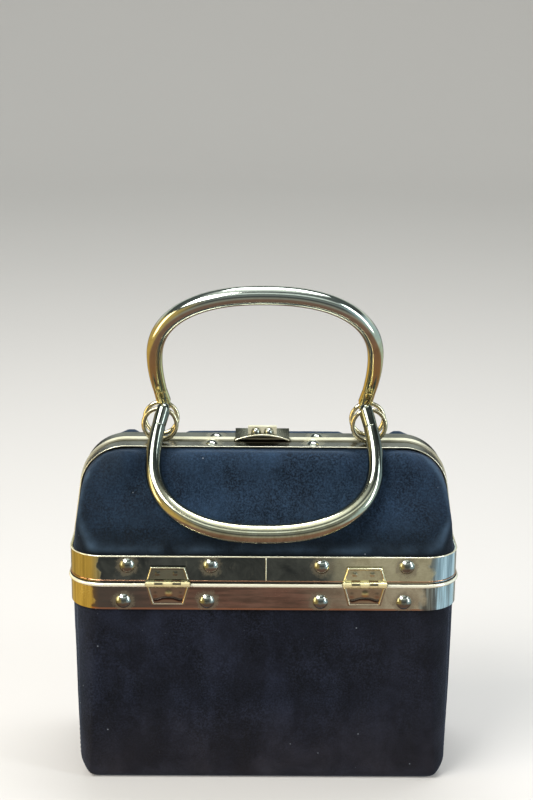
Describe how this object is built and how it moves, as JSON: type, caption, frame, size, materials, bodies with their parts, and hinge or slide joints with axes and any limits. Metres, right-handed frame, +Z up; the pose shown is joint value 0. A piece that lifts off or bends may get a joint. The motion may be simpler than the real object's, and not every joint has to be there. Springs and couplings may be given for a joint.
{
  "type": "handbag",
  "caption": "Rigid velvet-covered box handbag with brass bands, two outward-opening domed lid halves, tubular ring-hung handles and a lift clasp.",
  "frame": {"origin": "centre of the underside, on the plane that the bag stands on", "axes": "+X to the right along the ridge, -Y towards the front lid, +Z up"},
  "size_m": [0.2224, 0.1066, 0.2875],
  "materials": {
    "velvet": "deep navy cotton velvet with a short dense pile, slightly worn along the edges",
    "satin_lining": "smooth dark satin, inferred",
    "case_board": "stiff pressed board, hidden under the velvet",
    "polished_brass": "polished pale brass with fine scratches and light tarnish around the rivets",
    "aged_brass": "darker brass with tarnish"
  },
  "bodies": {
    "box": {"base_panel": "velvet", "lower_board": "case_board", "lower_velvet": "velvet", "lower_lining": "satin_lining", "lower_band": "polished_brass", "lower_rivets": "polished_brass", "front_left_hinge_box_leaf": "polished_brass", "front_left_hinge_pin": "aged_brass", "front_right_hinge_box_leaf": "polished_brass", "front_right_hinge_pin": "aged_brass", "back_left_hinge_box_leaf": "polished_brass", "back_left_hinge_pin": "aged_brass", "back_right_hinge_box_leaf": "polished_brass", "back_right_hinge_pin": "aged_brass"},
    "front_lid": {"front_board": "case_board", "front_velvet": "velvet", "front_lining": "satin_lining", "front_band_left": "polished_brass", "front_band_right": "polished_brass", "front_band_rivets": "polished_brass", "front_frame": "polished_brass", "front_frame_bead": "polished_brass", "front_frame_flange": "polished_brass", "front_frame_rivets": "polished_brass", "front_strike": "aged_brass", "front_left_hinge_lid_leaf": "polished_brass", "front_right_hinge_lid_leaf": "polished_brass", "front_left_ring": "polished_brass", "front_right_ring": "polished_brass", "front_left_staple": "polished_brass", "front_right_staple": "polished_brass"},
    "back_lid": {"back_board": "case_board", "back_velvet": "velvet", "back_lining": "satin_lining", "back_band_left": "polished_brass", "back_band_right": "polished_brass", "back_band_rivets": "polished_brass", "back_frame": "polished_brass", "back_frame_bead": "polished_brass", "back_frame_flange": "polished_brass", "back_frame_rivets": "polished_brass", "back_left_hinge_lid_leaf": "polished_brass", "back_right_hinge_lid_leaf": "polished_brass", "back_left_ring": "polished_brass", "back_right_ring": "polished_brass", "back_left_staple": "polished_brass", "back_right_staple": "polished_brass", "clasp_pin": "aged_brass", "clasp_lugs": "polished_brass"},
    "front_handle": {"front_handle_tube": "polished_brass", "front_handle_left_eye": "polished_brass", "front_handle_right_eye": "polished_brass"},
    "back_handle": {"back_handle_tube": "polished_brass", "back_handle_left_eye": "polished_brass", "back_handle_right_eye": "polished_brass"},
    "clasp": {"clasp_plate": "polished_brass", "clasp_housing": "polished_brass", "clasp_balls": "polished_brass"}
  },
  "joints": [
    {"name": "front_lid_hinge", "type": "hinge", "parent": "box", "child": "front_lid", "pos_m": [0, -0.0482, 0.1234], "axis": [1, 0, 0], "range_deg": [0, 95]},
    {"name": "back_lid_hinge", "type": "hinge", "parent": "box", "child": "back_lid", "pos_m": [0, 0.0482, 0.1234], "axis": [-1, 0, 0], "range_deg": [0, 95]},
    {"name": "front_handle_swing", "type": "hinge", "parent": "front_lid", "child": "front_handle", "pos_m": [0, -0.007, 0.21316], "axis": [-1, 0, 0], "range_deg": [0, 122]},
    {"name": "back_handle_swing", "type": "hinge", "parent": "back_lid", "child": "back_handle", "pos_m": [0, 0.007, 0.21316], "axis": [-1, 0, 0], "range_deg": [0, 163]},
    {"name": "clasp_lift", "type": "hinge", "parent": "back_lid", "child": "clasp", "pos_m": [0, 0.0088, 0.1959], "axis": [-1, 0, 0], "range_deg": [0, 100]}
  ]
}
